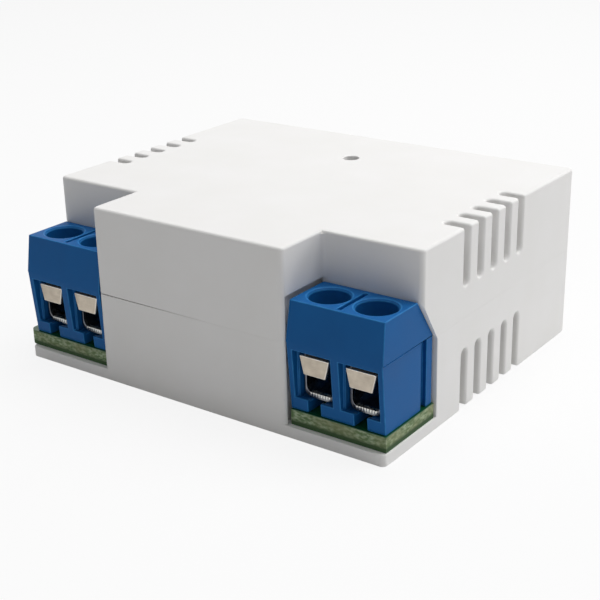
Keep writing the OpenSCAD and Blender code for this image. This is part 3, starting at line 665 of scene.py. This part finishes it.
def in_notch_corner(point):
    inner_corner = -corner_reach < point.y - notch_y < pocket_reach
    foot = point.y < front_y + corner_reach and abs(point.z - rim_z) < level_play
    return abs(abs(point.x) - notch_x) < corner_reach and (inner_corner or foot)


def hidden_inside(point):
    half_width, front = (side_x, notch_y) if point.y > notch_y else (notch_x, front_y)
    within_sides = abs(point.x) < half_width - inner_depth
    within_ends = front + inner_depth < point.y < back_y - inner_depth
    return within_sides and within_ends and inner_depth < point.z < lid_z - inner_depth


def too_fine_or_hidden(point):
    return in_notch_corner(point) or hidden_inside(point)


print("seam at", round(seam_level / MM, 3), "mm, notch from", round(notch_x / MM, 3), "mm")

# %% [markdown]
# On the left of the front the shells don't quite close, and a dark gap shows that narrows to nothing past the
# middle. It could be painted on, but a real gap has its own shadow. A cut across each shell puts points where
# the gap ends, and a lean of the wall's edge from there opens it.

# %% Shells
vent_round, edge_round, seam_round = 0.26 * MM, 0.09 * MM, 0.018 * MM
gap_end_x, half_gap, gap_band, gap_depth = 2.9 * MM, 0.06 * MM, 0.03 * MM, 1.85 * MM
sliver_length = 0.003 * MM


def cut_across(bm, x):
    everything = bm.verts[:] + bm.edges[:] + bm.faces[:]
    bmesh.ops.bisect_plane(bm, geom=everything, plane_co=(x, 0, 0), plane_no=(1, 0, 0))


def open_seam(bm, lift):
    lean = Matrix.Identity(4)
    lean[2][0] = -lift / (gap_end_x + notch_x)
    wall_edge = [v for v in bm.verts if abs(v.co.z - seam_level) < gap_band
                 and v.co.x < gap_end_x and v.co.y < front_y + gap_depth]
    bmesh.ops.transform(bm, matrix=lean, space=Matrix.Translation((-gap_end_x, 0, 0)), verts=wall_edge)


for shell, lift in (("upper_case", half_gap), ("lower_case", -half_gap)):
    shell_mesh = merged_copy(shell)
    cut_across(shell_mesh, gap_end_x)
    soften(shell_mesh, vent_round, in_vents, segments=4)
    soften(shell_mesh, edge_round, plain_edge, left_sharp=too_fine_or_hidden)
    soften(shell_mesh, seam_round, at_seam)
    bmesh.ops.dissolve_degenerate(shell_mesh, edges=shell_mesh.edges, dist=sliver_length)
    open_seam(shell_mesh, lift)
    shell_piece = add_piece(shell + "_softened", shell_mesh, white_abs, "module")
    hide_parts(shell)
    print(shell, "faces:", len(shell_piece.data.polygons))

# %% [markdown]
# The terminal blocks, the bent wire cages and the wire guards take one radius each. A stamped strip is
# rounder on one face than on the other, but at this size one radius looks the same.

# %% Blocks, cages and guards
POLES = range(1, 5)
block_round, cage_round, guard_round = 0.09 * MM, 0.04 * MM, 0.09 * MM


def softened(node, radius, material, body, segments=2):
    bm = merged_copy(node)
    soften(bm, radius, segments=segments)
    piece = add_piece(node + "_softened", bm, material, body)
    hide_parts(node)


for side in ("left", "right"):
    softened(side + "_terminal_housing", block_round, blue_polyamide, "module")
for pole in POLES:
    softened("terminal_%d_cage" % pole, cage_round, tinned_brass, "module")
    softened("terminal_%d_guard" % pole, guard_round, guard_strip, "guard_%d" % pole, 3)

# %% [markdown]
# The floor of a wire cage is ribbed at its mouth so that the wire can't slip, and the sheared ends of the
# ribs are the bright speckled line in each window. A rib is a short bar with rounded edges, sunk into the
# floor for most of its height.

# %% Ribs in the cages
rib_count, rib_step = 8, 0.30 * MM
rib_width, rib_length, rib_height = 0.25 * MM, 0.6 * MM, 0.38 * MM
rib_round, rib_proud, rib_sunk = 0.05 * MM, 0.01 * MM, 0.07 * MM
cage_floor_rise = 1.55 * MM
cage_floor_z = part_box("circuit_board")[1].z + cage_floor_rise


def cage_ribs(pole):
    low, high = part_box("terminal_%d_cage" % pole)
    middle_x = (low.x + high.x) / 2
    rib_size = Matrix.Diagonal((rib_width, rib_length, rib_height, 1))
    bm = bmesh.new()
    for i in range(rib_count):
        x = middle_x + (i - (rib_count - 1) / 2) * rib_step
        place = Matrix.Translation((x, low.y + rib_length / 2 - rib_proud, cage_floor_z - rib_sunk))
        bmesh.ops.create_cube(bm, size=1, matrix=place @ rib_size)
    soften(bm, rib_round)
    add_piece("terminal_%d_ribs" % pole, bm, sheared_tin, "module")


for pole in POLES:
    cage_ribs(pole)
print("ribs on a floor at", round(cage_floor_z / MM, 3), "mm")

# %% [markdown]
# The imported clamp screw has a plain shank. Here the shank is drawn in to the root of the thread, and a
# ridge is spun round it: a spin with a step along the axis makes a helix, and the two open ends are filled.

# %% Clamp screws with cut threads
thread_step, thread_root, thread_crest, steps_per_turn = 0.45 * MM, 1.0 * MM, 1.245 * MM, 28
ridge_half, crest_half, ridge_sunk = 0.18 * MM, 0.036 * MM, 0.06 * MM
head_height, shank_overlap, packed_shank, shank_limit = 0.8 * MM, 0.3 * MM, 1.2 * MM, 1.32 * MM
screw_round = 0.06 * MM


def thread_ridge(bm, axis, start_z, turns):
    foot = thread_root - ridge_sunk
    outline = [(foot, -ridge_half), (thread_crest, -crest_half),
               (thread_crest, crest_half), (foot, ridge_half)]
    corners = [bm.verts.new((axis.x + r, axis.y, start_z + z)) for r, z in outline]
    rim = [bm.edges.new((corners[i - 1], corners[i])) for i in range(len(corners))]
    bmesh.ops.spin(bm, geom=corners + rim, cent=(axis.x, axis.y, start_z), axis=(0, 0, 1),
                   dvec=(0, 0, thread_step / steps_per_turn), angle=math.tau * turns,
                   steps=round(turns * steps_per_turn))
    bmesh.ops.holes_fill(bm, edges=[e for e in bm.edges if e.is_boundary], sides=0)


def clamp_screw(pole):
    node = "terminal_%d_screw" % pole
    low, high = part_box(node)
    axis = (low + high) / 2
    under_head = high.z - head_height
    bm = merged_copy(node)
    shank = [v for v in bm.verts if v.co.z < under_head + shank_overlap
             and (v.co - axis).to_2d().length < shank_limit]
    draw_in = thread_root / packed_shank
    bmesh.ops.scale(bm, vec=(draw_in, draw_in, 1), verts=shank, space=Matrix.Translation(-axis))
    soften(bm, screw_round)
    thread_ridge(bm, axis, low.z + ridge_half, (under_head - low.z - 2 * ridge_half) / thread_step)
    bmesh.ops.recalc_face_normals(bm, faces=bm.faces)
    piece = add_piece(node + "_threaded", bm, zinc_steel, "screw_%d" % pole)
    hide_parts(node)
    print(piece.name, "faces:", len(piece.data.polygons))


for pole in POLES:
    clamp_screw(pole)
